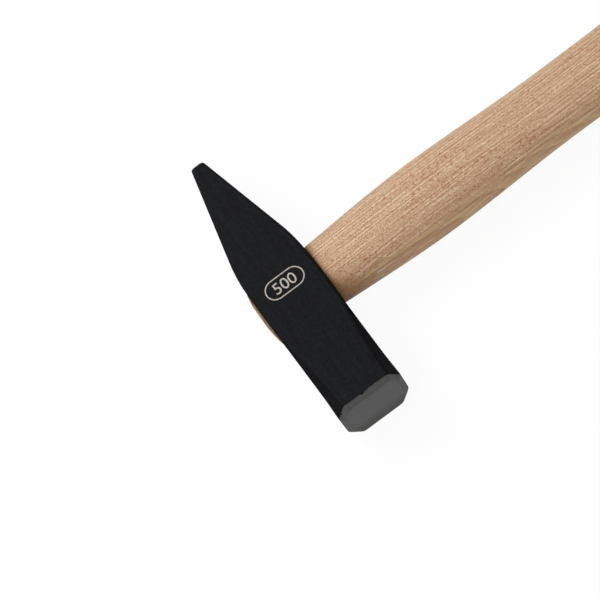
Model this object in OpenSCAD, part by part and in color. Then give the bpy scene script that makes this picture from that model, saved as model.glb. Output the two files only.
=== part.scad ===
// Cross-peen engineer's hammer, lying on one cheek.
// The handle runs along +X, the striking face looks along -Y and the head's lower cheek is at Z = 0.
// The origin is on that cheek, under the centre of the eye.

/* [Head] */
// Width of the striking face, along the handle
face_w = 27; // [24:0.5:32]
// Thickness of the head from cheek to cheek
cheek_t = 27; // [25:0.5:34]
// Width of the head round the eye, along the handle
boss_w = 27.1; // [24:0.1:34]
// Least width of the body between the eye and the face, along the handle
waist_w = 26.6; // [22:0.1:30]
// Distance of that waist from the centre of the eye
waist_at = 44; // [24:1:50]
// Distance from the centre of the eye to the striking face
face_reach = 54.9; // [48:0.1:80]
// Distance from the centre of the eye to the edge of the peen
peen_reach = 63.3; // [45:0.1:90]
// Thickness of the peen at its edge
peen_edge_t = 5.7; // [3:0.1:10]
// Rounding of the peen's edge
peen_edge_r = 0.6; // [0.3:0.1:1.5]
// Distance from the centre of the eye to where the flanks of the peen would meet the boss
flank_at = 13.2; // [9:0.1:22]
// Radius that blends the boss into the flanks
flank_blend_r = 78; // [10:1:110]

/* [Face and edges] */
// Bevel ground round the striking face
face_bevel = 1.6; // [0.5:0.1:3]
// Corner chamfer of the body where it reaches the face, across the cheek
corner_chamfer_w = 4; // [2:0.1:7]
// Corner chamfer of the body where it reaches the face, down the side
corner_chamfer_t = 6.5; // [2:0.1:8]
// Distance from the centre of the eye to where the corner chamfers run out
chamfer_at = 17; // [12:1:40]
// Broken edge along the boss and the peen
edge_break = 0.8; // [0.2:0.1:1.6]
// Rounding where the corner chamfers meet the sides of the head
chamfer_round = 1.8; // [0.3:0.1:3]
// Rounding of the eight corners of the ground face
face_round = 2; // [0.2:0.1:3]

/* [Eye] */
// Length of the eye where the handle enters, along the head
eye_in_len = 23.4; // [22.6:0.1:25]
// Width of the eye where the handle enters
eye_in_w = 14.6; // [13.8:0.1:18]
// Length of the eye at its throat
eye_throat_len = 22.4; // [19:0.1:23.2]
// Width of the eye at its throat
eye_throat_w = 13.6; // [13:0.1:14.4]
// Distance of the throat from the middle of the head, towards the handle
eye_throat_at = 3; // [-4:0.5:8]
// Length of the eye at the wedged end
eye_out_len = 24.3; // [22.6:0.1:27]
// Width of the eye at the wedged end
eye_out_w = 15.2; // [14:0.1:18]
// Chamfer round both mouths of the eye
eye_lip = 0.6; // [0.2:0.1:1.2]

/* [Handle] */
// Length of the handle from its wedged end to the butt
handle_len = 320; // [290:1:420]
// Width of the handle at its shoulder, where it meets the head
shoulder_w = 26; // [25:0.1:30]
// Thickness of the handle at its shoulder
shoulder_t = 19.8; // [18:0.1:24]
// Distance of the belly from the centre of the eye
belly_at = 62; // [40:1:90]
// Width of the belly
belly_w = 30.6; // [27:0.1:38]
// Thickness of the belly
belly_t = 23.2; // [19:0.1:26.5]
// Distance of the neck from the centre of the eye
neck_at = 119; // [100:1:170]
// Width of the neck
neck_w = 28; // [22:0.1:32]
// Thickness of the neck
neck_t = 20.6; // [16:0.1:25]
// Distance of the grip's widest place from the butt
grip_from_butt = 52; // [30:1:80]
// Width of the grip at its widest place
grip_w = 31.4; // [27:0.1:38]
// Thickness of the grip at its widest place
grip_t = 24; // [20:0.1:26.5]
// Width of the butt
butt_w = 29.2; // [24:0.1:34]
// Thickness of the butt
butt_t = 22.2; // [18:0.1:26]
// Rounding of the butt's rim
butt_round = 4; // [1:0.5:8]
// Height of the dome on the butt
butt_dome = 1.5; // [0.5:0.1:4]
// Broken edge round the shoulder
shoulder_break = 0.6; // [0.2:0.1:1.2]
// Height of the domed end of the handle above the head
end_proud = 1.2; // [0.4:0.1:4]
// Clearance between pieces that are driven together
fit_gap = 0.05; // [0.02:0.01:0.2]

/* [Wedges] */
// Thickness of the wooden wedge at the end of the handle
wedge_t = 4.2; // [2.5:0.1:6]
// Thickness of the wooden wedge at its tip
wedge_tip_t = 1.4; // [0.8:0.1:2.4]
// Depth to which the wooden wedge is driven
wedge_depth = 21; // [17:0.5:24]
// Saw cut left open below the wooden wedge
kerf_spare = 2; // [0.5:0.5:3]
// Outer diameter of the ring wedge at its driven end
ring_d = 12; // [10:0.1:13]
// Wall of the ring wedge at its driven end
ring_wall = 1.7; // [1.2:0.1:2.5]
// Wall of the ring wedge at its cutting edge
ring_tip_wall = 0.5; // [0.3:0.1:0.8]
// Depth to which the ring wedge is driven
ring_depth = 13; // [8:0.5:15]
// Distance from the end of the handle to the driven end of the ring wedge
ring_sink = 0.5; // [0.2:0.1:2]
// Inward slope of the ring wedge's outside, over its depth
ring_draw = 0.6; // [0.2:0.1:1]
// Number of barbs round the ring wedge
ring_barbs = 3; // [1:1:5]
// Height of the barbs
barb_h = 0.25; // [0.1:0.05:0.35]

/* [Hidden] */

// Points round an oval section, steps along the curved stretches, and spacing of sections along the handle
ROUND = 48;
CORNER_STEPS = 2;
EDGE_STEPS = 4;
BLEND_STEPS = 8;
WAIST_STEPS = 6;
RIM_STEPS = 5;
SECTION_STEP = 8;
// Powers of the ovals: 2 is an ellipse, and more has flatter sides
HANDLE_POWER = 2.3;
EYE_POWER = 2.5;
// Sections of a domed end, as shares of its full section, and how flat the domes are
DOME_SHARES = [1, 0.96, 0.9, 0.8, 0.65, 0.45, 0.2];
END_DOME_POWER = 3;
BUTT_DOME_POWER = 2;
// Largest rounding on a narrow corner chamfer, as a share of the chamfer
NARROW_ROUND = 1.6;
// Slope with which the handle leaves its shoulder, as a share of the mean slope up to the belly
SHOULDER_SLOPE = 1.2;
// Reach of a cut past the surface that it opens
PAST = 1;

// Places along the handle
axis_z = cheek_t / 2;
boss_half = boss_w / 2;
end_x = -(boss_half + end_proud);
butt_x = end_x + handle_len;
shoulder_x = boss_half + fit_gap;
rim_x = butt_x - butt_dome - butt_round;

// Places along the head, as distances from the eye towards the face
rim_s = face_reach - face_bevel;
flank_angle = atan((boss_half - peen_edge_t / 2) / (peen_reach - flank_at));
blend_reach = flank_blend_r * tan(flank_angle / 2);
blend_from = -flank_at - blend_reach * cos(flank_angle);
blend_to = -flank_at + blend_reach;

function raised(v, power) = sign(v) * pow(abs(v), power);
function mix(a, b, t) = a + (b - a) * t;
function ease(t) = t * t * (3 - 2 * t);
function reversed(list) = [for (i = [len(list) - 1:-1:0]) list[i]];

// Values in rising order, each once
function sorted(list) = len(list) < 2 ? list : concat(
    sorted([for (v = list) if (v < list[0]) v]),
    [list[0]],
    sorted([for (v = list) if (v > list[0]) v])
);

// An oval section across the handle at x
function oval(x, w, t, power) = [
    for (i = [0:ROUND - 1])
        let (a = 360 * i / ROUND)
            [x, w / 2 * raised(cos(a), 2 / power), axis_z + t / 2 * raised(sin(a), 2 / power)]
];

// An eight-sided section across the head at the distance s from the eye. Its corner chamfers take c[0]
// off the cheeks and c[1] off the sides, and its corners are rounded to r, or less on a narrow chamfer
function octagon(s, half_w, half_t, c, r) = let (
    round_r = min(r, NARROW_ROUND * min(c)),
    flat_w = half_w - c[0],
    flat_t = half_t - c[1],
    corners = [
        [half_w, flat_t], [flat_w, half_t], [-flat_w, half_t], [-half_w, flat_t],
        [-half_w, -flat_t], [-flat_w, -half_t], [flat_w, -half_t], [half_w, -flat_t]
    ],
    slant = atan2(c[0], c[1]),
    facing = [0, slant, 90, 180 - slant, 180, 180 + slant, 270, 360 - slant, 360]
) [
    for (i = [0:7])
        let (
            turn = facing[i + 1] - facing[i],
            side = [-sin(facing[i]), cos(facing[i])],
            out = [cos(facing[i]), sin(facing[i])],
            centre = corners[i] - side * round_r * tan(turn / 2) - out * round_r
        )
            for (j = [0:CORNER_STEPS])
                let (
                    a = facing[i] + turn * j / CORNER_STEPS,
                    p = centre + round_r * [cos(a), sin(a)]
                )
                    [p[0], -s, axis_z + p[1]]
];

// A solid through a list of sections that have equally many points
module skin(sections) {
    n = len(sections[0]);
    last = len(sections) - 1;
    sides = [
        for (i = [0:last - 1], j = [0:n - 1])
            let (a = i * n + j, b = i * n + (j + 1) % n)
                each [[a, b + n, b], [a, a + n, b + n]]
    ];
    first_cap = [for (j = [0:n - 1]) j];
    last_cap = [for (j = [n - 1:-1:0]) last * n + j];
    points = [for (section = sections) each section];
    polyhedron(points, concat([first_cap], sides, [last_cap]), convexity = 6);
}

// Half width of the head along the handle: straight flank, round blend, boss, waist, flare at the face
function flank_half(s) = boss_half + (s + flank_at) * tan(flank_angle);
function head_half(s) =
    s <= blend_from ? flank_half(s)
    : s <= blend_to ? boss_half - flank_blend_r + sqrt(pow(flank_blend_r, 2) - pow(s - blend_to, 2))
    : s <= 0 ? boss_half
    : s <= waist_at ? mix(boss_half, waist_w / 2, ease(s / waist_at))
    : mix(waist_w / 2, face_w / 2, ease((s - waist_at) / (rim_s - waist_at)));

// The corner chamfers grow evenly from a broken edge to their full size at the rim of the face
corner_chamfer = [corner_chamfer_w, corner_chamfer_t];
function head_chamfer(s) =
    s <= chamfer_at ? [edge_break, edge_break]
    : mix([edge_break, edge_break], corner_chamfer, (s - chamfer_at) / (rim_s - chamfer_at));

body_places = sorted(concat(
    [for (i = [0:BLEND_STEPS]) mix(blend_from, blend_to, i / BLEND_STEPS)],
    [for (i = [0:WAIST_STEPS]) mix(0, waist_at, i / WAIST_STEPS)],
    [for (i = [1:WAIST_STEPS]) mix(waist_at, rim_s, i / WAIST_STEPS)],
    [chamfer_at]
));

// The peen's edge is rounded on all its sides, from its end to the straight flanks
peen_sections = [
    for (i = [0:EDGE_STEPS])
        let (
            a = 90 * i / EDGE_STEPS,
            s = -peen_reach + peen_edge_r * (1 - cos(a)),
            inset = peen_edge_r * (1 - sin(a)),
            half_w = flank_half(s) - inset,
            c = min(edge_break, half_w / 2)
        )
            octagon(s, half_w, axis_z - inset, [c, c], chamfer_round)
];

// The bevel takes the same depth off all eight sides of the face, so the chamfers keep their slant
chamfer_loss = face_bevel * (1 - (norm(corner_chamfer) - corner_chamfer_t) / corner_chamfer_w);
face_section = octagon(
    face_reach,
    face_w / 2 - face_bevel,
    axis_z - face_bevel,
    corner_chamfer * (1 - chamfer_loss / corner_chamfer_t),
    face_round
);

// The eye narrows from both mouths to its throat, so that a wedged tenon can't leave it either way
function eye_sections(gap) = [
    oval(eye_lip - boss_half, eye_out_len - 2 * gap, eye_out_w - 2 * gap, EYE_POWER),
    oval(eye_throat_at, eye_throat_len - 2 * gap, eye_throat_w - 2 * gap, EYE_POWER),
    oval(boss_half - eye_lip, eye_in_len - 2 * gap, eye_in_w - 2 * gap, EYE_POWER)
];

module eye() {
    flare = 2 * (eye_lip + PAST);
    skin(concat(
        [oval(-boss_half - PAST, eye_out_len + flare, eye_out_w + flare, EYE_POWER)],
        eye_sections(0),
        [oval(boss_half + PAST, eye_in_len + flare, eye_in_w + flare, EYE_POWER)]
    ));
}

module head() {
    color("#212326")
    difference() {
        skin(concat(
            peen_sections,
            [for (s = body_places) octagon(s, head_half(s), axis_z, head_chamfer(s), chamfer_round)],
            [face_section]
        ));
        eye();
    }
}

// The tenon fills the eye, with its domed end standing proud of the head
tenon_sections = concat(
    [
        for (share = reversed(DOME_SHARES))
            oval(
                -boss_half - end_proud * (1 - pow(share, END_DOME_POWER)),
                (eye_out_len - 2 * fit_gap) * share,
                (eye_out_w - 2 * fit_gap) * share,
                EYE_POWER
            )
    ],
    eye_sections(fit_gap),
    [oval(shoulder_x, eye_in_len - 2 * fit_gap, eye_in_w - 2 * fit_gap, EYE_POWER)]
);

// Place, width and thickness of the handle where it stops swelling or narrowing
stations = [
    [shoulder_x, shoulder_w, shoulder_t],
    [belly_at, belly_w, belly_t],
    [neck_at, neck_w, neck_t],
    [butt_x - grip_from_butt, grip_w, grip_t],
    [butt_x, butt_w, butt_t]
];

// Size k of the handle at x, on smooth curves through the stations
function handle_size(x, k) =
    let (
        i = [for (i = [0:len(stations) - 2]) if (x <= stations[i + 1][0]) i][0],
        t = (x - stations[i][0]) / (stations[i + 1][0] - stations[i][0]),
        start = i == 0 ? SHOULDER_SLOPE * t * pow(1 - t, 2) : 0
    )
        mix(stations[i][k], stations[i + 1][k], ease(t) + start);

function handle_section(x, inset) =
    oval(x, handle_size(x, 1) - 2 * inset, handle_size(x, 2) - 2 * inset, HANDLE_POWER);

grip_from = shoulder_x + shoulder_break;
grip_steps = ceil((rim_x - grip_from) / SECTION_STEP);
grip_sections = concat(
    [handle_section(shoulder_x, shoulder_break)],
    [for (i = [0:grip_steps]) handle_section(mix(grip_from, rim_x, i / grip_steps), 0)]
);

butt_sections = concat(
    [
        for (i = [1:RIM_STEPS])
            let (a = 90 * i / RIM_STEPS)
                handle_section(rim_x + butt_round * sin(a), butt_round * (1 - cos(a)))
    ],
    [
        for (i = [1:len(DOME_SHARES) - 1])
            let (share = DOME_SHARES[i])
                oval(
                    butt_x - butt_dome * pow(share, BUTT_DOME_POWER),
                    (handle_size(butt_x - butt_dome, 1) - 2 * butt_round) * share,
                    (handle_size(butt_x - butt_dome, 2) - 2 * butt_round) * share,
                    HANDLE_POWER
                )
    ]
);

module handle() {
    color("#c9a585")
    difference() {
        skin(concat(tenon_sections, grip_sections, butt_sections));
        wedge_block(fit_gap, kerf_spare);
        ring_groove();
    }
}

// The taper of the wooden wedge, wider by the gap on both sides and with a straight saw cut below it
module wedge_block(gap, spare) {
    tip_x = end_x + wedge_depth;
    top_half = (wedge_t + (wedge_t - wedge_tip_t) * PAST / wedge_depth) / 2 + gap;
    tip_half = wedge_tip_t / 2 + gap;
    translate([0, 0, axis_z])
    rotate([90, 0, 0])
    linear_extrude(height = max(eye_out_len, eye_in_len) + 2 * PAST, center = true)
    polygon([
        [end_x - PAST, -top_half],
        [tip_x, -tip_half],
        [tip_x + spare, -tip_half],
        [tip_x + spare, tip_half],
        [tip_x, tip_half],
        [end_x - PAST, top_half]
    ]);
}

module wooden_wedge() {
    color("#b58a60")
    difference() {
        intersection() {
            skin(tenon_sections);
            wedge_block(0, 0);
        }
        ring_groove();
    }
}

// Outer and inner radius of the ring wedge at a depth below its driven end, without the barbs
function ring_outer(depth) = ring_d / 2 - ring_draw * depth / ring_depth;
function ring_inner(depth) = ring_outer(depth) - mix(ring_wall, ring_tip_wall, depth / ring_depth);
function barb_depth(i) = ring_depth * i / (ring_barbs + 1);

// Turns a profile of radius and depth about the handle's axis, from the ring wedge's driven end
module about_handle() {
    translate([end_x + ring_sink, 0, axis_z])
    rotate([0, 90, 0])
    rotate_extrude($fn = ROUND)
    children();
}

// The groove that the ring wedge cuts in the end grain
module ring_groove() {
    about_handle()
    polygon([
        [ring_inner(0) - fit_gap, -ring_sink - PAST],
        [ring_outer(0) + fit_gap, -ring_sink - PAST],
        [ring_outer(0) + fit_gap, 0],
        [ring_outer(ring_depth) + fit_gap, ring_depth + fit_gap],
        [ring_inner(ring_depth) - fit_gap, ring_depth + fit_gap],
        [ring_inner(0) - fit_gap, 0]
    ]);
}

module ring_wedge() {
    color("#8d9093")
    about_handle()
    polygon(concat(
        [[ring_inner(0), 0], [ring_outer(0), 0]],
        [
            for (i = [1:ring_barbs])
                each [
                    [ring_outer(barb_depth(i)) - barb_h, barb_depth(i)],
                    [ring_outer(barb_depth(i)), barb_depth(i)]
                ]
        ],
        [[ring_outer(ring_depth), ring_depth], [ring_inner(ring_depth), ring_depth]]
    ));
}

head();
handle();
wooden_wedge();
ring_wedge();
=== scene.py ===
"""Looks of a cross-peen engineer's hammer that lies on one cheek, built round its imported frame.

The handle runs along +X, the striking face looks along -Y and the lower cheek is at Z = 0.
"""

import math

import bmesh
import bpy
from mathutils import Matrix, Vector


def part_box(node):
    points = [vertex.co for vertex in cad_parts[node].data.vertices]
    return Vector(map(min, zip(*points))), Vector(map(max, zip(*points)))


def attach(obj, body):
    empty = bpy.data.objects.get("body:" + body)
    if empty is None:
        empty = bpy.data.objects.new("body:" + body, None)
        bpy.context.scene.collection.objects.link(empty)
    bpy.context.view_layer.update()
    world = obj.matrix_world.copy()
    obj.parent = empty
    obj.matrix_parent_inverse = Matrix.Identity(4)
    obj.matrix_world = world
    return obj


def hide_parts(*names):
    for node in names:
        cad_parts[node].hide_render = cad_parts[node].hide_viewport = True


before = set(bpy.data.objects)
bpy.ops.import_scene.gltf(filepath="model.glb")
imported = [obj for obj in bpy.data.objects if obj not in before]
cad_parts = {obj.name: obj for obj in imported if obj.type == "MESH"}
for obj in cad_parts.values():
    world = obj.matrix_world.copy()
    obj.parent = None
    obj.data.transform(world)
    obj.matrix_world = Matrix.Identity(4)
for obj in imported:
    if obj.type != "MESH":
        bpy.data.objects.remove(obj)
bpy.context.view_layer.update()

MM = 0.001

# Places and overall sizes that the frame gives
head_low, head_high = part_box("head")
handle_low, handle_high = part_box("handle")
ring_low, ring_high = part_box("ring_wedge")
wedge_low, wedge_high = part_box("wooden_wedge")
AXIS_Z = (head_low.z + head_high.z) / 2
CHEEK_HALF = (head_high.z - head_low.z) / 2
BOSS_HALF = head_high.x
FACE_REACH = -head_low.y
PEEN_REACH = head_high.y
END_X = wedge_low.x
BUTT_X = handle_high.x

# Head: sizes along the handle are widths, and places are distances from the eye towards the face
FACE_HALF = 13.5 * MM
WAIST_HALF = 13.3 * MM
WAIST_AT = 44 * MM
PEEN_EDGE_HALF = 2.85 * MM
PEEN_EDGE_ROUND = 0.6 * MM
FLANK_AT = 13.2 * MM
FLANK_BLEND = 78 * MM
FACE_BEVEL = 1.6 * MM
CORNER_CHAMFER = Vector((4 * MM, 6.5 * MM))
CHAMFER_AT = 17 * MM
EDGE_BREAK = 0.8 * MM
CHAMFER_ROUND = 1.8 * MM
FACE_ROUND = 2 * MM
RIM_ROUND = 0.5 * MM
FACE_EDGE_ROUND = 1.8 * MM
NARROW_ROUND = 1.6
RIM_AT = FACE_REACH - FACE_BEVEL
RIM_FROM = RIM_AT - RIM_ROUND * math.tan(math.pi / 8)
FLANK_ANGLE = math.atan((BOSS_HALF - PEEN_EDGE_HALF) / (PEEN_REACH - FLANK_AT))
BLEND_REACH = FLANK_BLEND * math.tan(FLANK_ANGLE / 2)
BLEND_FROM = -FLANK_AT - BLEND_REACH * math.cos(FLANK_ANGLE)
BLEND_TO = -FLANK_AT + BLEND_REACH

# Eye: width along the head and thickness at its two mouths and its throat
EYE_IN = (23.4 * MM, 14.6 * MM)
EYE_THROAT = (22.4 * MM, 13.6 * MM)
EYE_THROAT_AT = 3 * MM
EYE_OUT = (24.3 * MM, 15.2 * MM)
EYE_LIP = 0.6 * MM
EYE_POWER = 2.5

# Handle: place, width and thickness where it stops swelling or narrowing
FIT_GAP = 0.05 * MM
SHOULDER_X = BOSS_HALF + FIT_GAP
STATIONS = [
    (SHOULDER_X, 26.0 * MM, 19.8 * MM),
    (62 * MM, 30.6 * MM, 23.2 * MM),
    (119 * MM, 28.0 * MM, 20.6 * MM),
    (BUTT_X - 52 * MM, 31.4 * MM, 24.0 * MM),
    (BUTT_X, 29.2 * MM, 22.2 * MM),
]
SHOULDER_SLOPE = 1.2
SHOULDER_BREAK = 0.6 * MM
BUTT_ROUND = 4 * MM
BUTT_DOME = 1.5 * MM
HANDLE_POWER = 2.3
END_DOME_POWER = 3
BUTT_DOME_POWER = 2
END_PROUD = -BOSS_HALF - END_X

# Wedges
WEDGE_HALF = (wedge_high.z - wedge_low.z) / 2
WEDGE_TIP_HALF = 0.7 * MM
WEDGE_TIP_X = wedge_high.x
KERF_SPARE = 2 * MM
RING_OUTER = ring_high.y
RING_WALL = 1.7 * MM
RING_TIP_WALL = 0.5 * MM
RING_DRAW = 0.6 * MM
RING_BARBS = 3
BARB_HEIGHT = 0.25 * MM
RING_EDGE_ROUND = 0.35 * MM
RING_DEPTH = ring_high.x - ring_low.x

# Fineness of the meshes, and the small distances, and angles in radians, that they need
POINTS_ROUND = 96
SECTION_STEP = 1.5 * MM
CORNER_STEPS = 5
ARC_STEPS = 8
DOME_STEPS = 14
BLEND_STEPS = 24
BODY_STEPS = 16
DOME_START = 0.05
SHARP_ANGLE = math.radians(32)
TOOL_PAST = 1 * MM
STEP_GAP = 0.005 * MM
MERGE_WITHIN = 0.001 * MM

# Camera: it looks down on the cheek, leaning towards the striking face, turned a little towards the
# wedged end of the handle, and rolled so that the handle rises to the right
CAMERA_LEAN = math.radians(27.7)
CAMERA_TURN = math.radians(0.65)
CAMERA_ROLL = math.radians(36.58)
CAMERA_DISTANCE = 0.699
AIM_TOWARDS_FACE = 1.97 * MM
AIM_ALONG_HANDLE = 0.96 * MM
PICTURE_PX = 600
FOCAL_PX = 1894
SENSOR_MM = 36


def make_camera():
    towards_face = Vector((0, -math.cos(CAMERA_LEAN), -math.sin(CAMERA_LEAN)))
    turned_by = Matrix.Rotation(CAMERA_TURN, 3, towards_face)
    along_handle = turned_by @ Vector((1, 0, 0))
    back = turned_by @ Vector((0, -math.sin(CAMERA_LEAN), math.cos(CAMERA_LEAN)))
    right = along_handle * math.cos(CAMERA_ROLL) + towards_face * math.sin(CAMERA_ROLL)
    up = along_handle * math.sin(CAMERA_ROLL) - towards_face * math.cos(CAMERA_ROLL)
    aim = Vector((0, 0, AXIS_Z)) + towards_face * AIM_TOWARDS_FACE + along_handle * AIM_ALONG_HANDLE
    data = bpy.data.cameras.new("camera")
    data.sensor_width = SENSOR_MM
    data.lens = FOCAL_PX * SENSOR_MM / PICTURE_PX
    camera = bpy.data.objects.new("camera", data)
    turn = Matrix((right, up, back)).transposed().to_4x4()
    camera.matrix_world = Matrix.Translation(aim + back * CAMERA_DISTANCE) @ turn
    bpy.context.scene.collection.objects.link(camera)
    bpy.context.scene.camera = camera


# Nodes and colours
def live_socket(sockets, name=None):
    """The first socket in use, or the first in use of that name."""
    return next(socket for socket in sockets if socket.enabled and name in (None, socket.name))


def add(tree, kind, inputs=None, **settings):
    """Adds a node: settings are its own properties, and inputs are values, sockets or nodes to link.

    An input is named, or numbered where a node's inputs share one name.
    """
    node = tree.nodes.new(kind)
    for name, value in settings.items():
        setattr(node, name, value)
    for key, value in (inputs or {}).items():
        socket = node.inputs[key] if isinstance(key, int) else live_socket(node.inputs, key)
        if isinstance(value, bpy.types.Node):
            value = live_socket(value.outputs)
        if isinstance(value, bpy.types.NodeSocket):
            tree.links.new(value, socket)
        else:
            socket.default_value = value
    return node


def colour(hex_code):
    """Linear colour of an sRGB hex value."""
    channels = [int(hex_code[i:i + 2], 16) / 255 for i in (1, 3, 5)]
    return [c / 12.92 if c <= 0.04045 else ((c + 0.055) / 1.055) ** 2.4 for c in channels] + [1]


def new_material(name):
    material = bpy.data.materials.new(name)
    material.use_nodes = True
    material.node_tree.nodes.clear()
    return material, material.node_tree


def in_millimetres(tree):
    """Object coordinates in millimetres."""
    place = add(tree, "ShaderNodeTexCoord").outputs["Object"]
    return add(tree, "ShaderNodeVectorMath", {0: place, "Scale": 1 / MM}, operation="SCALE")


def streaks(tree, point, length, width, detail=0.0, seed=0.0):
    """Noise about zero, with marks of this length along the handle and this width across it."""
    shrunk = add(
        tree, "ShaderNodeVectorMath",
        {0: point, 1: (1 / length, 1 / width, 1 / width), 2: (seed, seed, seed)},
        operation="MULTIPLY_ADD",
    )
    noise = add(tree, "ShaderNodeTexNoise", {"Vector": shrunk, "Scale": 1.0, "Detail": detail})
    return add(tree, "ShaderNodeMath", {0: noise, 1: 0.5}, operation="SUBTRACT")


def weighted(tree, start, terms):
    """A start value plus each of the values times its weight."""
    total = start
    for value, weight in terms:
        total = add(tree, "ShaderNodeMath", {0: value, 1: weight, 2: total}, operation="MULTIPLY_ADD")
    return total


# Raw beech, turned and sanded: a matt pinkish tan. The top and the underside show fine even lines along the
# handle and short rust-brown flecks. The sides show growth bands, which run straight near the head and slant
# beyond it. The side that faces the peen is lighter and the side that faces the striking face darker, which
# is painted light and shade. By the shoulder the wood is partly stained and partly darkened by painted warm
# shade, which reaches further on the side of the striking face, and grime lies where the end of the tenon
# meets the head.
# The real lines are finer, and are drawn as coarse as they need to show. Places and sizes are in millimetres
RING_SPACING = 3.6
RINGS_PER_MM_ALONG = -0.06
GRAIN_TURNS_AT = 50
GRAIN_TURN_LENGTH = 40
PITH = (0, 95, 24)
LINE_SPACING = 1.3
# Reach of the warm brown by the shoulder, partly staining and partly painted shade, longer on the side of the
# face
STAIN_AND_SHADE_REACH = 3.2
STAIN_AND_SHADE_REACH_BY_FACE = 16
GRIME_FROM = 0.15
GRIME_TO = 0.5
GRIME_COLOUR = "#2a2420"


def growth_rings(tree, point, along, seed):
    """The season in each growth ring, from 0 to 1, and its share of late wood, which differs by the year."""
    from_pith = add(tree, "ShaderNodeVectorMath", {0: point, 1: PITH}, operation="SUBTRACT")
    across = add(tree, "ShaderNodeVectorMath", {0: from_pith, 1: (0, 1, 1)}, operation="MULTIPLY")
    radius = add(tree, "ShaderNodeVectorMath", {0: across}, operation="LENGTH")
    wander = streaks(tree, point, 110, 16, 1.0, seed)
    past_turn = weighted(tree, -GRAIN_TURNS_AT, [(along, 1.0)])
    slanted = add(
        tree, "ShaderNodeMath", {0: past_turn, 1: 0.0, 2: GRAIN_TURN_LENGTH}, operation="SMOOTH_MAX"
    )
    years = weighted(
        tree, 0.0, [(radius, 1 / RING_SPACING), (slanted, RINGS_PER_MM_ALONG), (wander, 4.0)]
    )
    year = add(tree, "ShaderNodeMath", {0: years}, operation="FLOOR")
    year_tone = add(tree, "ShaderNodeTexWhiteNoise", {"W": year}, noise_dimensions="1D")
    yearly = weighted(tree, 0.2, [(year_tone, 0.8)])
    season = add(tree, "ShaderNodeMath", {0: years}, operation="FRACT")
    late = add(tree, "ShaderNodeMath", {0: season, 1: 3.0}, operation="POWER")
    late_wood = add(tree, "ShaderNodeMath", {0: yearly, 1: late}, operation="MULTIPLY")
    return season, late_wood


def even_lines(tree, point, across, seed):
    """Fine lines along the handle, evenly spaced but wavering, and stronger in some places than in others."""
    waver = streaks(tree, point, 70, 3, 1.0, seed + 10)
    turns = weighted(tree, 0.0, [(across, 2 * math.pi / LINE_SPACING), (waver, 9.0)])
    combed = add(tree, "ShaderNodeMath", {0: turns}, operation="SINE")
    strength = add(
        tree, "ShaderNodeMapRange",
        {"Value": streaks(tree, point, 25, 1.2, 0.0, seed + 12), "From Min": -0.12, "From Max": 0.12,
         "To Max": 0.22},
    )
    return add(tree, "ShaderNodeMath", {0: combed, 1: strength}, operation="MULTIPLY")


def pale_seams(tree, point, seed):
    """Thin pale lines that come and go along the handle."""
    off_seam = add(
        tree, "ShaderNodeMath", {0: streaks(tree, point, 200, 1.5, 0.0, seed + 5)}, operation="ABSOLUTE"
    )
    seam = add(
        tree, "ShaderNodeMapRange", {"Value": off_seam, "From Max": 0.04, "To Min": 1.0, "To Max": 0.0}
    )
    whole = add(
        tree, "ShaderNodeMapRange",
        {"Value": streaks(tree, point, 16, 1.0, 0.0, seed + 6), "From Min": -0.08, "From Max": 0.04},
    )
    return add(tree, "ShaderNodeMath", {0: seam, 1: whole}, operation="MULTIPLY")


def ray_flecks(tree, point, on_top, seed):
    """Short dashes in rows along the top and the underside of the handle, crowded in some places."""
    rows = add(
        tree, "ShaderNodeMapRange",
        {"Value": streaks(tree, point, 40, 0.7, 0.0, seed + 7), "From Min": 0.02, "From Max": 0.08},
    )
    dots = add(
        tree, "ShaderNodeMapRange",
        {"Value": streaks(tree, point, 1.3, 0.8, 0.0, seed + 8), "From Min": 0.1, "From Max": 0.18},
    )
    dashes = add(tree, "ShaderNodeMath", {0: rows, 1: dots}, operation="MULTIPLY")
    crowd = add(
        tree, "ShaderNodeMapRange",
        {"Value": streaks(tree, point, 30, 7, 1.0, seed + 11), "From Min": -0.1, "From Max": 0.12,
         "To Min": 0.3, "To Max": 0.95},
    )
    crowded = add(tree, "ShaderNodeMath", {0: dashes, 1: crowd}, operation="MULTIPLY")
    return add(tree, "ShaderNodeMath", {0: crowded, 1: on_top}, operation="MULTIPLY")


def shoulder_stain_and_shade(tree, along, towards_peen, lines):
    """Share of the warm brown by the shoulder, partly a real staining of the wood and partly painted shade,
    which reaches further on the side of the striking face where the head's shadow falls.
    """
    reach = add(
        tree, "ShaderNodeMapRange",
        {"Value": towards_peen, "From Min": -0.4, "From Max": -1.0, "To Min": STAIN_AND_SHADE_REACH,
         "To Max": STAIN_AND_SHADE_REACH_BY_FACE},
    )
    ragged = weighted(tree, -SHOULDER_X / MM, [(along, 1.0), (lines, -3.0)])
    return add(
        tree, "ShaderNodeMapRange", {"Value": ragged, "From Max": reach, "To Min": 0.5, "To Max": 0.0}
    )


def end_grain(tree, point, along, early_wood, dark, pale, seed):
    """Colour of the cut ends: speckled, with ragged grime where the end of the tenon meets the head."""
    crumbs = streaks(tree, point, 0.7, 0.7, 2.0, seed + 13)
    tone = weighted(tree, 0.6, [(crumbs, 2.2), (early_wood, 0.4)])
    clean = add(
        tree, "ShaderNodeMix", {"Factor": tone, "A": colour(dark), "B": colour(pale)}, data_type="RGBA"
    )
    notches = streaks(tree, point, 2, 2, 1.0, seed + 14)
    off_eye = add(tree, "ShaderNodeMath", {0: along}, operation="ABSOLUTE")
    off_head = weighted(tree, -BOSS_HALF / MM, [(off_eye, 1.0), (crumbs, 0.6), (notches, 1.1)])
    grime = add(
        tree, "ShaderNodeMapRange",
        {"Value": off_head, "From Min": GRIME_FROM, "From Max": GRIME_TO, "To Min": 0.85, "To Max": 0.0},
    )
    return add(
        tree, "ShaderNodeMix", {"Factor": grime, "A": clean, "B": colour(GRIME_COLOUR)}, data_type="RGBA"
    )


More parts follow.
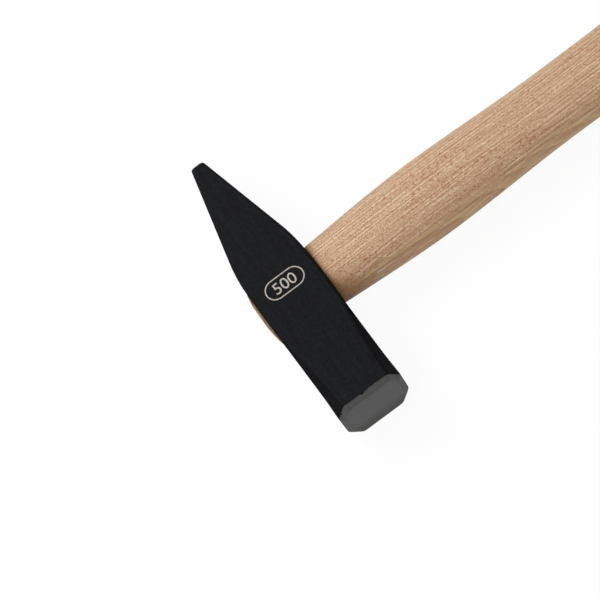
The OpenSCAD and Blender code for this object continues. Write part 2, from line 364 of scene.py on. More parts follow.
def three_tones(tree, tone, dark, middle, cream):
    """Colour of the plain wood, from dark where the tone is 0, through middle at a half, to cream at 1."""
    brown = add(
        tree, "ShaderNodeMix",
        {"Factor": weighted(tree, 0.0, [(tone, 2.0)]), "A": colour(dark), "B": colour(middle)},
        data_type="RGBA",
    )
    return add(
        tree, "ShaderNodeMix",
        {"Factor": weighted(tree, -1.0, [(tone, 2.0)]), "A": brown, "B": colour(cream)},
        data_type="RGBA",
    )


def beech(name, dark, middle, cream, olive, fleck, stain_and_shade_colour, end_dark, end_pale, seed):
    material, tree = new_material(name)
    point = in_millimetres(tree)
    place = add(tree, "ShaderNodeSeparateXYZ", {"Vector": point}).outputs
    normal = add(tree, "ShaderNodeTexCoord").outputs["Normal"]
    facing = add(tree, "ShaderNodeSeparateXYZ", {"Vector": normal}).outputs
    endwise = add(tree, "ShaderNodeMath", {0: facing["X"]}, operation="ABSOLUTE")
    upright = add(tree, "ShaderNodeMath", {0: facing["Z"]}, operation="ABSOLUTE")
    on_end = add(tree, "ShaderNodeMapRange", {"Value": endwise, "From Min": 0.4, "From Max": 0.75})
    on_top = add(tree, "ShaderNodeMapRange", {"Value": upright, "From Min": 0.25, "From Max": 0.75})
    on_side = add(
        tree, "ShaderNodeMapRange",
        {"Value": upright, "From Min": 0.35, "From Max": 0.9, "To Min": 1.0, "To Max": 0.0},
    )

    season, late_wood = growth_rings(tree, point, place["X"], seed)
    early_wood = weighted(tree, 0.5, [(season, -1.0)])
    lines = streaks(tree, point, 150, 0.8, 1.0, seed + 1)
    hairs = streaks(tree, point, 100, 0.3, 0.0, seed + 2)
    fibres = streaks(tree, point, 0.5, 0.3, 0.0, seed + 9)
    broad = streaks(tree, point, 60, 8, 1.0, seed + 4)
    pores = add(
        tree, "ShaderNodeMapRange",
        {"Value": streaks(tree, point, 0.6, 0.3, 0.0, seed + 3), "From Min": 0.08, "From Max": 0.18},
    )
    # The facing Y term makes the side towards the peen lighter and the side towards the striking face darker:
    # painted light and shade
    tone = weighted(
        tree, 0.42,
        [(on_top, 0.07), (facing["Y"], 0.08), (lines, 0.08), (broad, 0.04), (fibres, 0.65),
         (hairs, weighted(tree, 0.25, [(on_side, 0.15)])),
         (even_lines(tree, point, place["Y"], seed), on_top),
         (pale_seams(tree, point, seed), weighted(tree, 0.15, [(on_side, 0.37)])),
         (pores, weighted(tree, -0.1, [(on_top, -0.35)])),
         (early_wood, weighted(tree, 0.06, [(on_side, -0.28)]))],
    )

    bands = add(tree, "ShaderNodeMath", {0: late_wood, 1: on_side}, operation="MULTIPLY")
    flecks = ray_flecks(tree, point, on_top, seed)
    # Warm brown by the shoulder: partly staining of the wood, partly painted shade near the head on the side
    # of the face
    stain_and_shade_share = shoulder_stain_and_shade(tree, place["X"], facing["Y"], lines)
    ends = end_grain(tree, point, place["X"], early_wood, end_dark, end_pale, seed)
    surface = three_tones(tree, tone, dark, middle, cream)
    layers = [(bands, colour(olive)), (flecks, colour(fleck)), (stain_and_shade_share, colour(stain_and_shade_colour)), (on_end, ends)]
    for share, layer in layers:
        surface = add(
            tree, "ShaderNodeMix", {"Factor": share, "A": surface, "B": layer}, data_type="RGBA"
        )

    height = weighted(tree, 0.0, [(lines, 0.6), (pores, -0.5), (flecks, -0.4)])
    bump = add(tree, "ShaderNodeBump", {"Height": height, "Strength": 0.5, "Distance": 0.06 * MM})
    shader = add(
        tree, "ShaderNodeBsdfPrincipled",
        {"Base Color": surface, "Roughness": weighted(tree, 0.67, [(lines, 0.35), (on_end, 0.25)]),
         "IOR": 1.5, "Normal": bump},
    )
    add(tree, "ShaderNodeOutputMaterial", {"Surface": shader})
    return material


# Matt black lacquer over forged steel: near black with a faint cool tone. The cheeks are a little greyer,
# which is painted sheen, and the sides and chamfers darker, which is painted shade. The face and its bevel
# were ground bare afterwards, which left a slightly ragged edge of lacquer; the bare face has painted shade
# towards its rim, widest below. The band of the face left clear of that painted shade and the width of the
# shaded rim are in millimetres
UNSHADED_BAND_AT = AXIS_Z / MM + 3
UNSHADED_BAND_HALF = 6
RIM_SHADE_FADE = 6.5
SIDE_RIM_SHADE_FADE = 3


def ground_share(tree, point, towards_peen):
    """1 where the face was ground bare, as far as a ragged and chipped edge of lacquer."""
    wave = streaks(tree, point, 2.2, 2.2, 2.0)
    chips = add(
        tree, "ShaderNodeMapRange",
        {"Value": streaks(tree, point, 1.0, 1.0, 0.0, 5.0), "From Min": 0.16, "From Max": 0.24},
    )
    past_rim = weighted(tree, -RIM_AT / MM, [(towards_peen, -1.0), (wave, -0.4), (chips, -0.5)])
    return add(tree, "ShaderNodeMapRange", {"Value": past_rim, "From Min": 0.0, "From Max": 0.08})


def black_lacquer(tree, point, place, mottle):
    """Colour of the lacquer, faintly streaked along the head and dusty, with painted sheen that makes the
    cheeks greyer and painted shade that makes the sides and chamfers darker.
    """
    normal = add(tree, "ShaderNodeTexCoord").outputs["Normal"]
    facing = add(tree, "ShaderNodeSeparateXYZ", {"Vector": normal}).outputs
    upright = add(tree, "ShaderNodeMath", {0: facing["Z"]}, operation="ABSOLUTE")
    cheek_sheen_share = add(
        tree, "ShaderNodeMapRange", {"Value": upright, "From Min": 0.55, "From Max": 0.95},
        interpolation_type="SMOOTHSTEP",
    )
    along_head = add(tree, "ShaderNodeCombineXYZ", {"X": place["Y"], "Y": place["X"], "Z": place["Z"]})
    drawn = streaks(tree, along_head, 25, 1.6, 2.0, 6.0)
    depth = weighted(tree, 0.5, [(mottle, 1.4), (drawn, 0.9)])
    # The greyer cheek colours are painted sheen, and the darker side colours are painted shade on the sides
    # and chamfers
    cheeks = add(
        tree, "ShaderNodeMix", {"Factor": depth, "A": colour("#121215"), "B": colour("#1e1f21")},
        data_type="RGBA",
    )
    sides = add(
        tree, "ShaderNodeMix", {"Factor": depth, "A": colour("#060608"), "B": colour("#0b0c0e")},
        data_type="RGBA",
    )
    black = add(tree, "ShaderNodeMix", {"Factor": cheek_sheen_share, "A": sides, "B": cheeks}, data_type="RGBA")
    dust = add(
        tree, "ShaderNodeMapRange",
        {"Value": streaks(tree, point, 0.9, 0.9, 0.0, 9.0), "From Min": 0.33, "From Max": 0.37,
         "To Max": 0.3},
    )
    return add(tree, "ShaderNodeMix", {"Factor": dust, "A": black, "B": colour("#4a4b4d")}, data_type="RGBA")


def ground_steel(tree, place, grind):
    """Colour of the bare face, streaked by the grinding, with painted shade towards its rim, widest below."""
    middle = add(
        tree, "ShaderNodeMix",
        {"Factor": weighted(tree, 0.5, [(grind, 2.0)]), "A": colour("#525252"), "B": colour("#5c5c5c")},
        data_type="RGBA",
    )
    aside = add(tree, "ShaderNodeMath", {0: place["X"]}, operation="ABSOLUTE")
    off_unshaded_band = weighted(tree, -UNSHADED_BAND_AT, [(place["Z"], 1.0)])
    over_or_under = add(tree, "ShaderNodeMath", {0: off_unshaded_band}, operation="ABSOLUTE")
    at_sides = add(
        tree, "ShaderNodeMapRange",
        {"Value": aside, "From Min": FACE_HALF / MM - SIDE_RIM_SHADE_FADE, "From Max": FACE_HALF / MM},
    )
    at_ends = add(
        tree, "ShaderNodeMapRange",
        {"Value": over_or_under, "From Min": UNSHADED_BAND_HALF, "From Max": UNSHADED_BAND_HALF + RIM_SHADE_FADE},
    )
    rim_shade_share = add(tree, "ShaderNodeMath", {0: at_sides, 1: at_ends}, operation="MAXIMUM")
    # Towards the rim the face is mixed to a darker grey: painted shade, widest below the band left clear of
    # it
    return add(
        tree, "ShaderNodeMix", {"Factor": rim_shade_share, "A": middle, "B": colour("#454543")}, data_type="RGBA"
    )


def lacquered_steel():
    material, tree = new_material("matt_lacquer_over_ground_steel")
    point = in_millimetres(tree)
    place = add(tree, "ShaderNodeSeparateXYZ", {"Vector": point}).outputs
    bare = ground_share(tree, point, place["Y"])
    mottle = streaks(tree, point, 1.3, 1.3, 3.0, 2.0)
    grind = streaks(tree, point, 14, 0.7, 2.0, 4.0)
    lacquer = black_lacquer(tree, point, place, mottle)
    steel = ground_steel(tree, place, grind)
    surface = add(tree, "ShaderNodeMix", {"Factor": bare, "A": lacquer, "B": steel}, data_type="RGBA")
    roughness = add(
        tree, "ShaderNodeMix",
        {"Factor": bare, "A": weighted(tree, 0.5, [(mottle, 0.2)]), "B": weighted(tree, 0.6, [(grind, 0.2)])},
    )
    height = add(tree, "ShaderNodeMix", {"Factor": bare, "A": mottle, "B": grind})
    bump = add(tree, "ShaderNodeBump", {"Height": height, "Strength": 0.25, "Distance": 0.04 * MM})
    shader = add(
        tree, "ShaderNodeBsdfPrincipled",
        {"Base Color": surface, "Metallic": bare, "Roughness": roughness, "Specular IOR Level": 0.02,
         "Normal": bump},
    )
    add(tree, "ShaderNodeOutputMaterial", {"Surface": shader})
    return material


# Turned mild steel: mid grey, with fine rings from the lathe and dents where it was driven
def turned_steel():
    material, tree = new_material("turned_mild_steel")
    point = in_millimetres(tree)
    centred = add(tree, "ShaderNodeVectorMath", {0: point, 1: (0, 0, AXIS_Z / MM)}, operation="SUBTRACT")
    flat = add(tree, "ShaderNodeVectorMath", {0: centred, 1: (0, 1, 1)}, operation="MULTIPLY")
    radius = add(tree, "ShaderNodeVectorMath", {0: flat}, operation="LENGTH")
    lathe = add(
        tree, "ShaderNodeTexNoise", {"W": radius, "Scale": 4.0, "Detail": 2.0}, noise_dimensions="1D"
    )
    dents = streaks(tree, point, 1.6, 1.6, 2.0, 1.0)
    tone = add(
        tree, "ShaderNodeMix",
        {"Factor": weighted(tree, 0.5, [(dents, 3.0)]), "A": colour("#6e6f70"), "B": colour("#9a9b9c")},
        data_type="RGBA",
    )
    height = weighted(tree, 0.0, [(lathe, 0.2), (dents, 1.0)])
    bump = add(tree, "ShaderNodeBump", {"Height": height, "Strength": 0.6, "Distance": 0.15 * MM})
    shader = add(
        tree, "ShaderNodeBsdfPrincipled",
        {"Base Color": tone, "Metallic": 1.0, "Roughness": weighted(tree, 0.2, [(lathe, 0.35)]),
         "Normal": bump},
    )
    add(tree, "ShaderNodeOutputMaterial", {"Surface": shader})
    return material


# Steel laid bare by a laser: a pale warm grey, dull and faintly speckled
def etched_steel():
    material, tree = new_material("laser_etched_steel")
    point = in_millimetres(tree)
    grain = streaks(tree, point, 0.6, 0.6, 2.0)
    tone = add(
        tree, "ShaderNodeMix",
        {"Factor": weighted(tree, 0.5, [(grain, 2.5)]), "A": colour("#8f867d"), "B": colour("#c4bab0")},
        data_type="RGBA",
    )
    shader = add(
        tree, "ShaderNodeBsdfPrincipled",
        {"Base Color": tone, "Roughness": weighted(tree, 0.62, [(grain, 0.35)])},
    )
    add(tree, "ShaderNodeOutputMaterial", {"Surface": shader})
    return material


# Shared mesh work
def new_object(name, mesh):
    piece = bpy.data.objects.new(name, mesh)
    bpy.context.scene.collection.objects.link(piece)
    return piece


def mesh_of(name, shape):
    """A mesh from a bmesh, with its faces turned outwards."""
    bmesh.ops.recalc_face_normals(shape, faces=shape.faces)
    mesh = bpy.data.meshes.new(name)
    shape.to_mesh(mesh)
    shape.free()
    return mesh


def settle(piece):
    """Leaves a piece as the plain mesh that its modifiers make."""
    graph = bpy.context.evaluated_depsgraph_get()
    made = bpy.data.meshes.new_from_object(
        piece.evaluated_get(graph), preserve_all_data_layers=True, depsgraph=graph
    )
    piece.modifiers.clear()
    piece.data = made


def carve(piece, tool, operation):
    """Cuts a piece with a tool, or keeps only what lies inside the tool, and throws the tool away."""
    cut = piece.modifiers.new("cut", "BOOLEAN")
    cut.object = tool
    cut.operation = operation
    cut.solver = "EXACT"
    settle(piece)
    bpy.data.objects.remove(tool)


def smooth(piece):
    """Rounds the shading everywhere but at sharp edges, and keeps flat faces flat."""
    piece.data.shade_smooth()
    piece.data.set_sharp_from_angle(angle=SHARP_ANGLE)
    level = piece.modifiers.new("level", "WEIGHTED_NORMAL")
    level.keep_sharp = True
    settle(piece)


def paint(piece, material):
    piece.data.materials.clear()
    piece.data.materials.append(material)


def loft(name, rings):
    """A closed skin over rings of equally many points."""
    shape = bmesh.new()
    loops = [[shape.verts.new(point) for point in ring] for ring in rings]
    for near, far in zip(loops, loops[1:]):
        for i in range(len(near)):
            shape.faces.new((near[i - 1], near[i], far[i], far[i - 1]))
    shape.faces.new(loops[0])
    shape.faces.new(loops[-1])
    return new_object(name, mesh_of(name, shape))


def turned(name, profile, start_x):
    """A ring about the handle's axis, from a closed profile of radius and depth."""
    shape = bmesh.new()
    loops = []
    for i in range(POINTS_ROUND):
        angle = 2 * math.pi * i / POINTS_ROUND
        loops.append([
            shape.verts.new((start_x + depth, radius * math.cos(angle), AXIS_Z + radius * math.sin(angle)))
            for radius, depth in profile
        ])
    for i, loop in enumerate(loops):
        for j in range(len(profile)):
            shape.faces.new((loops[i - 1][j - 1], loops[i - 1][j], loop[j], loop[j - 1]))
    return new_object(name, mesh_of(name, shape))


def mix(a, b, share):
    return a + (b - a) * share


def ease(t):
    return t * t * (3 - 2 * t)


def steps(start, end, count):
    """Evenly spaced values from start to end, both included."""
    return [mix(start, end, i / count) for i in range(count + 1)]


# Geometry nodes that sweep an oval along a spine, as wide, thick and square as each of its points says
def oval_sweep_tree():
    tree = bpy.data.node_groups.new("oval_sweep", "GeometryNodeTree")
    sockets = [
        ("Spine", "NodeSocketGeometry"), ("Points round", "NodeSocketInt"),
        ("Axis height", "NodeSocketFloat"), ("Finish", "NodeSocketMaterial"),
    ]
    for name, kind in sockets:
        tree.interface.new_socket(name, in_out="INPUT", socket_type=kind)
    tree.interface.new_socket("Swept", in_out="OUTPUT", socket_type="NodeSocketGeometry")
    given = add(tree, "NodeGroupInput").outputs
    path = add(tree, "GeometryNodeMeshToCurve", {"Mesh": given["Spine"]})
    circle = add(
        tree, "GeometryNodeCurvePrimitiveCircle", {"Resolution": given["Points round"], "Radius": 1.0}
    )
    tube = add(tree, "GeometryNodeCurveToMesh", {"Curve": path, "Profile Curve": circle, "Fill Caps": True})
    here = add(tree, "ShaderNodeSeparateXYZ", {"Vector": add(tree, "GeometryNodeInputPosition")})
    power = add(tree, "GeometryNodeInputNamedAttribute", {"Name": "power"}, data_type="FLOAT")
    exponent = add(tree, "ShaderNodeMath", {0: 2.0, 1: power}, operation="DIVIDE")
    sides = []
    for axis, half in (("Y", "half_width"), ("Z", "half_thickness")):
        size = add(tree, "ShaderNodeMath", {0: here.outputs[axis]}, operation="ABSOLUTE")
        bulged = add(tree, "ShaderNodeMath", {0: size, 1: exponent}, operation="POWER")
        side = add(tree, "ShaderNodeMath", {0: here.outputs[axis]}, operation="SIGN")
        unit = add(tree, "ShaderNodeMath", {0: bulged, 1: side}, operation="MULTIPLY")
        reach = add(tree, "GeometryNodeInputNamedAttribute", {"Name": half}, data_type="FLOAT")
        sides.append(add(tree, "ShaderNodeMath", {0: unit, 1: reach}, operation="MULTIPLY"))
    lifted = add(tree, "ShaderNodeMath", {0: sides[1], 1: given["Axis height"]}, operation="ADD")
    place = add(tree, "ShaderNodeCombineXYZ", {"X": here.outputs["X"], "Y": sides[0], "Z": lifted})
    shaped = add(tree, "GeometryNodeSetPosition", {"Geometry": tube, "Position": place})
    plain = add(tree, "GeometryNodeRealizeInstances", {"Geometry": shaped})
    finished = add(tree, "GeometryNodeSetMaterial", {"Geometry": plain, "Material": given["Finish"]})
    add(tree, "NodeGroupOutput", {"Swept": finished})
    return tree


def sweep(name, tree, sections, material=None):
    """A solid through oval sections, each a place along the handle, a width, a thickness and a power."""
    shape = bmesh.new()
    spine = [shape.verts.new((section[0], 0, 0)) for section in sections]
    for near, far in zip(spine, spine[1:]):
        shape.edges.new((near, far))
    mesh = bpy.data.meshes.new(name)
    shape.to_mesh(mesh)
    shape.free()
    values = {
        "half_width": [section[1] / 2 for section in sections],
        "half_thickness": [section[2] / 2 for section in sections],
        "power": [section[3] for section in sections],
    }
    for attribute, numbers in values.items():
        mesh.attributes.new(attribute, "FLOAT", "POINT").data.foreach_set("value", numbers)
    piece = new_object(name, mesh)
    nodes = piece.modifiers.new("sweep", "NODES")
    nodes.node_group = tree
    sizes = {"Points round": POINTS_ROUND, "Axis height": AXIS_Z, "Finish": material}
    for item in tree.interface.items_tree:
        if item.name in sizes and item.in_out == "INPUT":
            nodes[item.identifier] = sizes[item.name]
    settle(piece)
    for attribute in values:
        piece.data.attributes.remove(piece.data.attributes[attribute])
    return piece


# Head
def octagon(s, half_w, half_t, chamfer, rounding):
    """Points of the head's section at the distance s from the eye towards the face.

    The corner chamfers take chamfer[0] off the cheeks and chamfer[1] off the sides.
    """
    radius = min(rounding, NARROW_ROUND * min(chamfer))
    flat_w, flat_t = half_w - chamfer[0], half_t - chamfer[1]
    corners = [
        (half_w, flat_t), (flat_w, half_t), (-flat_w, half_t), (-half_w, flat_t),
        (-half_w, -flat_t), (-flat_w, -half_t), (flat_w, -half_t), (half_w, -flat_t),
    ]
    slant = math.atan2(chamfer[0], chamfer[1])
    half_turn = [0, slant, math.pi / 2, math.pi - slant]
    facing = half_turn + [math.pi + angle for angle in half_turn] + [2 * math.pi]
    ring = []
    for i, corner in enumerate(corners):
        tangent = radius * math.tan((facing[i + 1] - facing[i]) / 2)
        out = Vector((math.cos(facing[i]), math.sin(facing[i])))
        side = Vector((-out.y, out.x))
        centre = Vector(corner) - side * tangent - out * radius
        for angle in steps(facing[i], facing[i + 1], CORNER_STEPS):
            x = centre.x + radius * math.cos(angle)
            z = AXIS_Z + centre.y + radius * math.sin(angle)
            ring.append((x, -s, z))
    return ring


def flank_half(s):
    return BOSS_HALF + (s + FLANK_AT) * math.tan(FLANK_ANGLE)


def head_half(s):
    """Half width of the head: straight flank, round blend, boss, waist, flare at the face."""
    if s <= BLEND_FROM:
        return flank_half(s)
    if s <= BLEND_TO:
        return BOSS_HALF - FLANK_BLEND + math.sqrt(FLANK_BLEND ** 2 - (s - BLEND_TO) ** 2)
    if s <= 0:
        return BOSS_HALF
    if s <= WAIST_AT:
        return mix(BOSS_HALF, WAIST_HALF, ease(s / WAIST_AT))
    return mix(WAIST_HALF, FACE_HALF, ease(min(1, (s - WAIST_AT) / (RIM_AT - WAIST_AT))))


def head_chamfer(s):
    """Corner chamfers: a broken edge that grows evenly to the full size at the rim of the face."""
    share = min(1, max(0, (s - CHAMFER_AT) / (RIM_AT - CHAMFER_AT)))
    return mix(Vector((EDGE_BREAK, EDGE_BREAK)), CORNER_CHAMFER, share)


def peen_edge_rings():
    rings = []
    for angle in steps(0, math.pi / 2, ARC_STEPS):
        s = -PEEN_REACH + PEEN_EDGE_ROUND * (1 - math.cos(angle))
        inset = PEEN_EDGE_ROUND * (1 - math.sin(angle))
        half_w = flank_half(s) - inset
        chamfer = min(EDGE_BREAK, half_w / 2)
        rings.append(octagon(s, half_w, CHEEK_HALF - inset, (chamfer, chamfer), CHAMFER_ROUND))
    return rings


def face_rings():
    """The bevel round the face, rounded where it meets the sides and the face."""
    across, down = CORNER_CHAMFER
    loss = 1 - (CORNER_CHAMFER.length - down) / across
    end = FACE_BEVEL + FACE_EDGE_ROUND * math.tan(math.pi / 8)
    profile = []
    for angle in steps(0, math.pi / 4, ARC_STEPS):
        profile.append((RIM_FROM + RIM_ROUND * math.sin(angle), RIM_ROUND * (1 - math.cos(angle))))
    for angle in steps(math.pi / 4, math.pi / 2, ARC_STEPS):
        profile.append((
            FACE_REACH - FACE_EDGE_ROUND * (1 - math.sin(angle)),
            end - FACE_EDGE_ROUND * math.cos(angle),
        ))
    rings = []
    for s, inset in profile:
        rounding = mix(CHAMFER_ROUND, FACE_ROUND, inset / FACE_BEVEL)
        chamfer = CORNER_CHAMFER * (1 - inset * loss / down)
        rings.append(octagon(s, FACE_HALF - inset, CHEEK_HALF - inset, chamfer, rounding))
    return rings


def eye_sections(gap):
    return [
        (EYE_LIP - BOSS_HALF, EYE_OUT[0] - 2 * gap, EYE_OUT[1] - 2 * gap, EYE_POWER),
        (EYE_THROAT_AT, EYE_THROAT[0] - 2 * gap, EYE_THROAT[1] - 2 * gap, EYE_POWER),
        (BOSS_HALF - EYE_LIP, EYE_IN[0] - 2 * gap, EYE_IN[1] - 2 * gap, EYE_POWER),
    ]


def eye_tool(tree):
    flare = 2 * (EYE_LIP + TOOL_PAST)
    sections = [
        (-BOSS_HALF - TOOL_PAST, EYE_OUT[0] + flare, EYE_OUT[1] + flare, EYE_POWER),
        *eye_sections(0),
        (BOSS_HALF + TOOL_PAST, EYE_IN[0] + flare, EYE_IN[1] + flare, EYE_POWER),
    ]
    return sweep("eye_tool", tree, sections)


def make_head(tree):
    places = sorted(
        steps(BLEND_FROM, BLEND_TO, BLEND_STEPS)
        + steps(0, WAIST_AT, BODY_STEPS)
        + [CHAMFER_AT]
        + steps(WAIST_AT, RIM_FROM, BODY_STEPS)[1:-1]
    )
    body = [octagon(s, head_half(s), CHEEK_HALF, head_chamfer(s), CHAMFER_ROUND) for s in places]
    head = loft("hammer_head", peen_edge_rings() + body + face_rings())
    carve(head, eye_tool(tree), "DIFFERENCE")
    smooth(head)
    paint(head, lacquered_steel())
    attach(head, "root")
    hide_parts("head")


# Handle
def handle_size(x, k):
    """Width (1) or thickness (2) of the handle at x, on smooth curves through its stations."""
    i = next(i for i in range(len(STATIONS) - 1) if x <= STATIONS[i + 1][0])
    start, end = STATIONS[i], STATIONS[i + 1]
    t = (x - start[0]) / (end[0] - start[0])
    lift = SHOULDER_SLOPE * t * (1 - t) ** 2 if i == 0 else 0
    return mix(start[k], end[k], ease(t) + lift)


def handle_section(x, inset):
    return (x, handle_size(x, 1) - 2 * inset, handle_size(x, 2) - 2 * inset, HANDLE_POWER)


def tenon_sections():
    """The tenon fills the eye, and its domed end stands proud of the head."""
    width, thickness = EYE_OUT[0] - 2 * FIT_GAP, EYE_OUT[1] - 2 * FIT_GAP
    sections = []
    for angle in steps(DOME_START, math.pi / 2, DOME_STEPS):
        share = math.sin(angle)
        x = -BOSS_HALF - END_PROUD * (1 - share ** END_DOME_POWER)
        sections.append((x, width * share, thickness * share, EYE_POWER))
    sections += eye_sections(FIT_GAP)
    sections.append((SHOULDER_X - STEP_GAP, EYE_IN[0] - 2 * FIT_GAP, EYE_IN[1] - 2 * FIT_GAP, EYE_POWER))
    return sections


def grip_sections():
    rim_x = BUTT_X - BUTT_DOME - BUTT_ROUND
    sections = []
    for angle in steps(0, math.pi / 2, ARC_STEPS):
        x = SHOULDER_X + SHOULDER_BREAK * (1 - math.cos(angle))
        sections.append(handle_section(x, SHOULDER_BREAK * (1 - math.sin(angle))))
    start = SHOULDER_X + SHOULDER_BREAK
    count = math.ceil((rim_x - start) / SECTION_STEP)
    sections += [handle_section(x, 0) for x in steps(start, rim_x, count)[1:]]
    for angle in steps(0, math.pi / 2, ARC_STEPS)[1:]:
        x = rim_x + BUTT_ROUND * math.sin(angle)
        sections.append(handle_section(x, BUTT_ROUND * (1 - math.cos(angle))))
    full = handle_section(BUTT_X - BUTT_DOME, BUTT_ROUND)
    for angle in steps(math.pi / 2, DOME_START, DOME_STEPS)[1:]:
        share = math.sin(angle)
        x = BUTT_X - BUTT_DOME * share ** BUTT_DOME_POWER
        sections.append((x, full[1] * share, full[2] * share, HANDLE_POWER))
    return sections


def wedge_tool(gap, spare):
    """The taper of the wooden wedge, wider by the gap on both sides and with a saw cut below it."""
    grown = WEDGE_HALF + (WEDGE_HALF - WEDGE_TIP_HALF) * TOOL_PAST / (WEDGE_TIP_X - END_X) + gap
    tip = WEDGE_TIP_HALF + gap
    outline = [
        (END_X - TOOL_PAST, -grown), (WEDGE_TIP_X, -tip), (WEDGE_TIP_X + spare, -tip),
        (WEDGE_TIP_X + spare, tip), (WEDGE_TIP_X, tip), (END_X - TOOL_PAST, grown),
    ]
    if not spare:
        outline = outline[:2] + outline[4:]
    reach = max(EYE_OUT[0], EYE_IN[0]) / 2 + TOOL_PAST
    return loft("wedge_tool", [[(x, y, AXIS_Z + z) for x, z in outline] for y in (-reach, reach)])


def ring_outer(depth):
    return RING_OUTER - RING_DRAW * depth / RING_DEPTH


def ring_inner(depth):
    return ring_outer(depth) - mix(RING_WALL, RING_TIP_WALL, depth / RING_DEPTH)


def groove_tool():
    """The groove that the ring wedge cuts in the end grain."""
    mouth = END_X - ring_low.x - TOOL_PAST
    bottom = RING_DEPTH + FIT_GAP
    profile = [
        (ring_inner(0) - FIT_GAP, mouth), (ring_outer(0) + FIT_GAP, mouth), (ring_outer(0) + FIT_GAP, 0),
        (ring_outer(RING_DEPTH) + FIT_GAP, bottom), (ring_inner(RING_DEPTH) - FIT_GAP, bottom),
        (ring_inner(0) - FIT_GAP, 0),
    ]
    return turned("groove_tool", profile, ring_low.x)


def make_handle(tree):
    wood = beech(
        "raw_beech", dark="#94673f", middle="#c39e7d", cream="#ecd9c2", olive="#bba167", fleck="#9a5a33",
        stain_and_shade_colour="#a0662e", end_dark="#442c16", end_pale="#a3733e", seed=0.0,
    )
    handle = sweep("hammer_handle", tree, tenon_sections() + grip_sections(), wood)
    carve(handle, wedge_tool(FIT_GAP, KERF_SPARE), "DIFFERENCE")
    carve(handle, groove_tool(), "DIFFERENCE")
    smooth(handle)
    paint(handle, wood)
    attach(handle, "root")
    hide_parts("handle")


def make_wooden_wedge(tree):
    wood = beech(
        "raw_beech_wedge", dark="#7a5535", middle="#ad8259", cream="#cfae84", olive="#a5804f",
        fleck="#7a4a2a", stain_and_shade_colour="#80593a", end_dark="#8a6844", end_pale="#c8a577", seed=40.0,
    )
    wedge = sweep("wooden_wedge_driven", tree, tenon_sections(), wood)
    carve(wedge, wedge_tool(0, 0), "INTERSECT")
    carve(wedge, groove_tool(), "DIFFERENCE")
    smooth(wedge)
    paint(wedge, wood)
    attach(wedge, "root")
    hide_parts("wooden_wedge")


def make_ring_wedge():
    arc = [
        (RING_EDGE_ROUND * (1 - math.sin(angle)), RING_EDGE_ROUND * (1 - math.cos(angle)))
        for angle in steps(0, math.pi / 2, ARC_STEPS)
    ]
    profile = [(ring_inner(0) + inset, depth) for inset, depth in reversed(arc)]
    profile += [(ring_outer(0) - inset, depth) for inset, depth in arc]
    for i in range(1, RING_BARBS + 1):
        depth = RING_DEPTH * i / (RING_BARBS + 1)
        profile += [(ring_outer(depth) - BARB_HEIGHT, depth), (ring_outer(depth), depth)]
    profile += [(ring_outer(RING_DEPTH), RING_DEPTH), (ring_inner(RING_DEPTH), RING_DEPTH)]
    ring = turned("ring_wedge_driven", profile, ring_low.x)
    smooth(ring)
    paint(ring, turned_steel())
    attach(ring, "root")
    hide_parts("ring_wedge")


# Weight mark, etched on the upper cheek and read from the face: its size is that of the whole outline
MARK_TEXT = "500"
MARK_LENGTH = 16.4 * MM
MARK_WIDTH = 8.4 * MM
MARK_LINE = 0.45 * MM
MARK_TEXT_LENGTH = 9.4 * MM
MARK_PROUD = 0.02 * MM
MARK_SUNK = 0.1 * MM
MARK_END_STEPS = 32


def stadium(length, width):
    """Points of an outline with round ends."""
    radius = width / 2
    straight = length / 2 - radius
    points = []
    for side, start in ((1, -math.pi / 2), (-1, math.pi / 2)):
        for angle in steps(start, start + math.pi, MARK_END_STEPS):
            points.append((side * straight + radius * math.cos(angle), radius * math.sin(angle)))
    return points


def make_weight_mark():
    shape = bmesh.new()
    top, bottom = head_high.z + MARK_PROUD, head_high.z - MARK_SUNK
    outer = stadium(MARK_LENGTH, MARK_WIDTH)
    inner = stadium(MARK_LENGTH - 2 * MARK_LINE, MARK_WIDTH - 2 * MARK_LINE)
    loops = [
        [shape.verts.new((x, y, z)) for x, y in outline]
        for outline, z in ((outer, bottom), (outer, top), (inner, top), (inner, bottom))
    ]
    for k, loop in enumerate(loops):
        for i in range(len(loop)):
            shape.faces.new((loops[k - 1][i - 1], loops[k - 1][i], loop[i], loop[i - 1]))
    mark = new_object("weight_mark", mesh_of("weight_mark", shape))

    text = bpy.data.curves.new("weight_text", "FONT")
    text.body = MARK_TEXT
    text.align_x = "CENTER"
    text.align_y = "CENTER"
    text.extrude = 1
    letters = new_object("weight_text", text)
    bpy.context.view_layer.update()
    low, high = (Vector(letters.bound_box[i]) for i in (0, 6))
    scale = MARK_TEXT_LENGTH / (high.x - low.x)
    depth = (MARK_PROUD + MARK_SUNK) / (high.z - low.z)
    graph = bpy.context.evaluated_depsgraph_get()
    lettering = bpy.data.meshes.new_from_object(letters.evaluated_get(graph))
    bpy.data.objects.remove(letters)
    middle = (low + high) / 2
    lettering.transform(
        Matrix.Translation((0, 0, (top + bottom) / 2))
        @ Matrix.Diagonal((scale, scale, depth, 1))
        @ Matrix.Translation(-middle)
    )
    joined = bmesh.new()
    joined.from_mesh(mark.data)
    joined.from_mesh(lettering)
    bmesh.ops.remove_doubles(joined, verts=joined.verts, dist=MERGE_WITHIN)
    mark.data = mesh_of("weight_mark", joined)
    paint(mark, etched_steel())
    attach(mark, "root")


# Stage: a pale floor that stays white to the eye but keeps some of the shadow, and soft light from above
FLOOR_SIZE = 40
FLOOR_DROP = 0.1 * MM
FLOOR_GLOW = 0.94
SKY_LEVEL = 0.32
LIGHT_AIM_X = 60 * MM

# Lamps: name, place and size in metres, and level
LAMPS = [
    ("key", (-0.3, 0.65, 0.85), 0.6, 0.6),
    ("overhead", (-0.45, -0.3, 1.2), 0.7, 0.32),
    ("side", (-0.9, -0.7, 0.55), 0.6, 0.14),
]


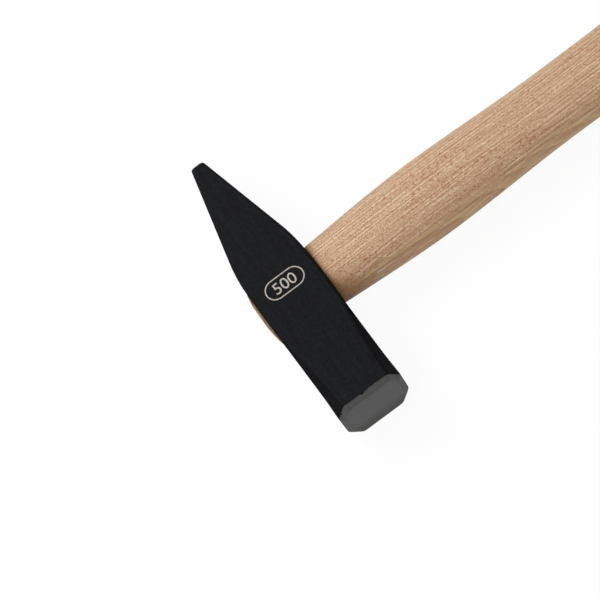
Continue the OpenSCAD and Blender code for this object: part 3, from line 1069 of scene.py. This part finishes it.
def looked_at(tree):
    """1 for what the eye sees, directly or in a gloss or through glass, and 0 for light on its way."""
    rays = add(tree, "ShaderNodeLightPath").outputs
    seen = rays["Is Camera Ray"]
    for kind in ("Is Glossy Ray", "Is Transmission Ray"):
        seen = add(tree, "ShaderNodeMath", {0: seen, 1: rays[kind]}, operation="MAXIMUM")
    return seen


def make_floor():
    material, tree = new_material("pale_floor")
    share = add(tree, "ShaderNodeMath", {0: looked_at(tree), 1: FLOOR_GLOW}, operation="MULTIPLY")
    matt = add(tree, "ShaderNodeBsdfDiffuse", {"Color": colour("#f4f4f4")})
    white = add(tree, "ShaderNodeEmission", {"Color": colour("#ffffff"), "Strength": 1.0})
    both = add(tree, "ShaderNodeMixShader", {0: share, 1: matt, 2: white})
    add(tree, "ShaderNodeOutputMaterial", {"Surface": both})
    shape = bmesh.new()
    bmesh.ops.create_grid(shape, x_segments=1, y_segments=1, size=FLOOR_SIZE / 2)
    bmesh.ops.translate(shape, verts=shape.verts, vec=(0, 0, -FLOOR_DROP))
    mesh = bpy.data.meshes.new("floor")
    shape.to_mesh(mesh)
    shape.free()
    floor = new_object("floor", mesh)
    paint(floor, material)


def softbox(name, place, size, level):
    """A square lamp aimed at the hammer. At level 1 it alone shows a facing white surface as white."""
    aim = Vector((LIGHT_AIM_X, 0, AXIS_Z))
    offset = Vector(place) - aim
    data = bpy.data.lights.new(name, "AREA")
    data.size = size
    data.energy = level * math.pi ** 2 * offset.length_squared
    lamp = bpy.data.objects.new(name, data)
    lamp.location = place
    lamp.rotation_mode = "QUATERNION"
    lamp.rotation_quaternion = (-offset).to_track_quat("-Z", "Y")
    bpy.context.scene.collection.objects.link(lamp)


def make_light():
    scene = bpy.context.scene
    scene.view_settings.view_transform = "Standard"
    scene.world = bpy.data.worlds.new("studio")
    scene.world.use_nodes = True
    tree = scene.world.node_tree
    tree.nodes.clear()
    strength = weighted(tree, SKY_LEVEL, [(looked_at(tree), 1 - SKY_LEVEL)])
    sky = add(tree, "ShaderNodeBackground", {"Color": colour("#ffffff"), "Strength": strength})
    add(tree, "ShaderNodeOutputWorld", {"Surface": sky})
    for lamp in LAMPS:
        softbox(*lamp)


make_camera()
oval_sweep = oval_sweep_tree()
make_head(oval_sweep)
make_handle(oval_sweep)
make_wooden_wedge(oval_sweep)
make_ring_wedge()
make_weight_mark()
make_floor()
make_light()
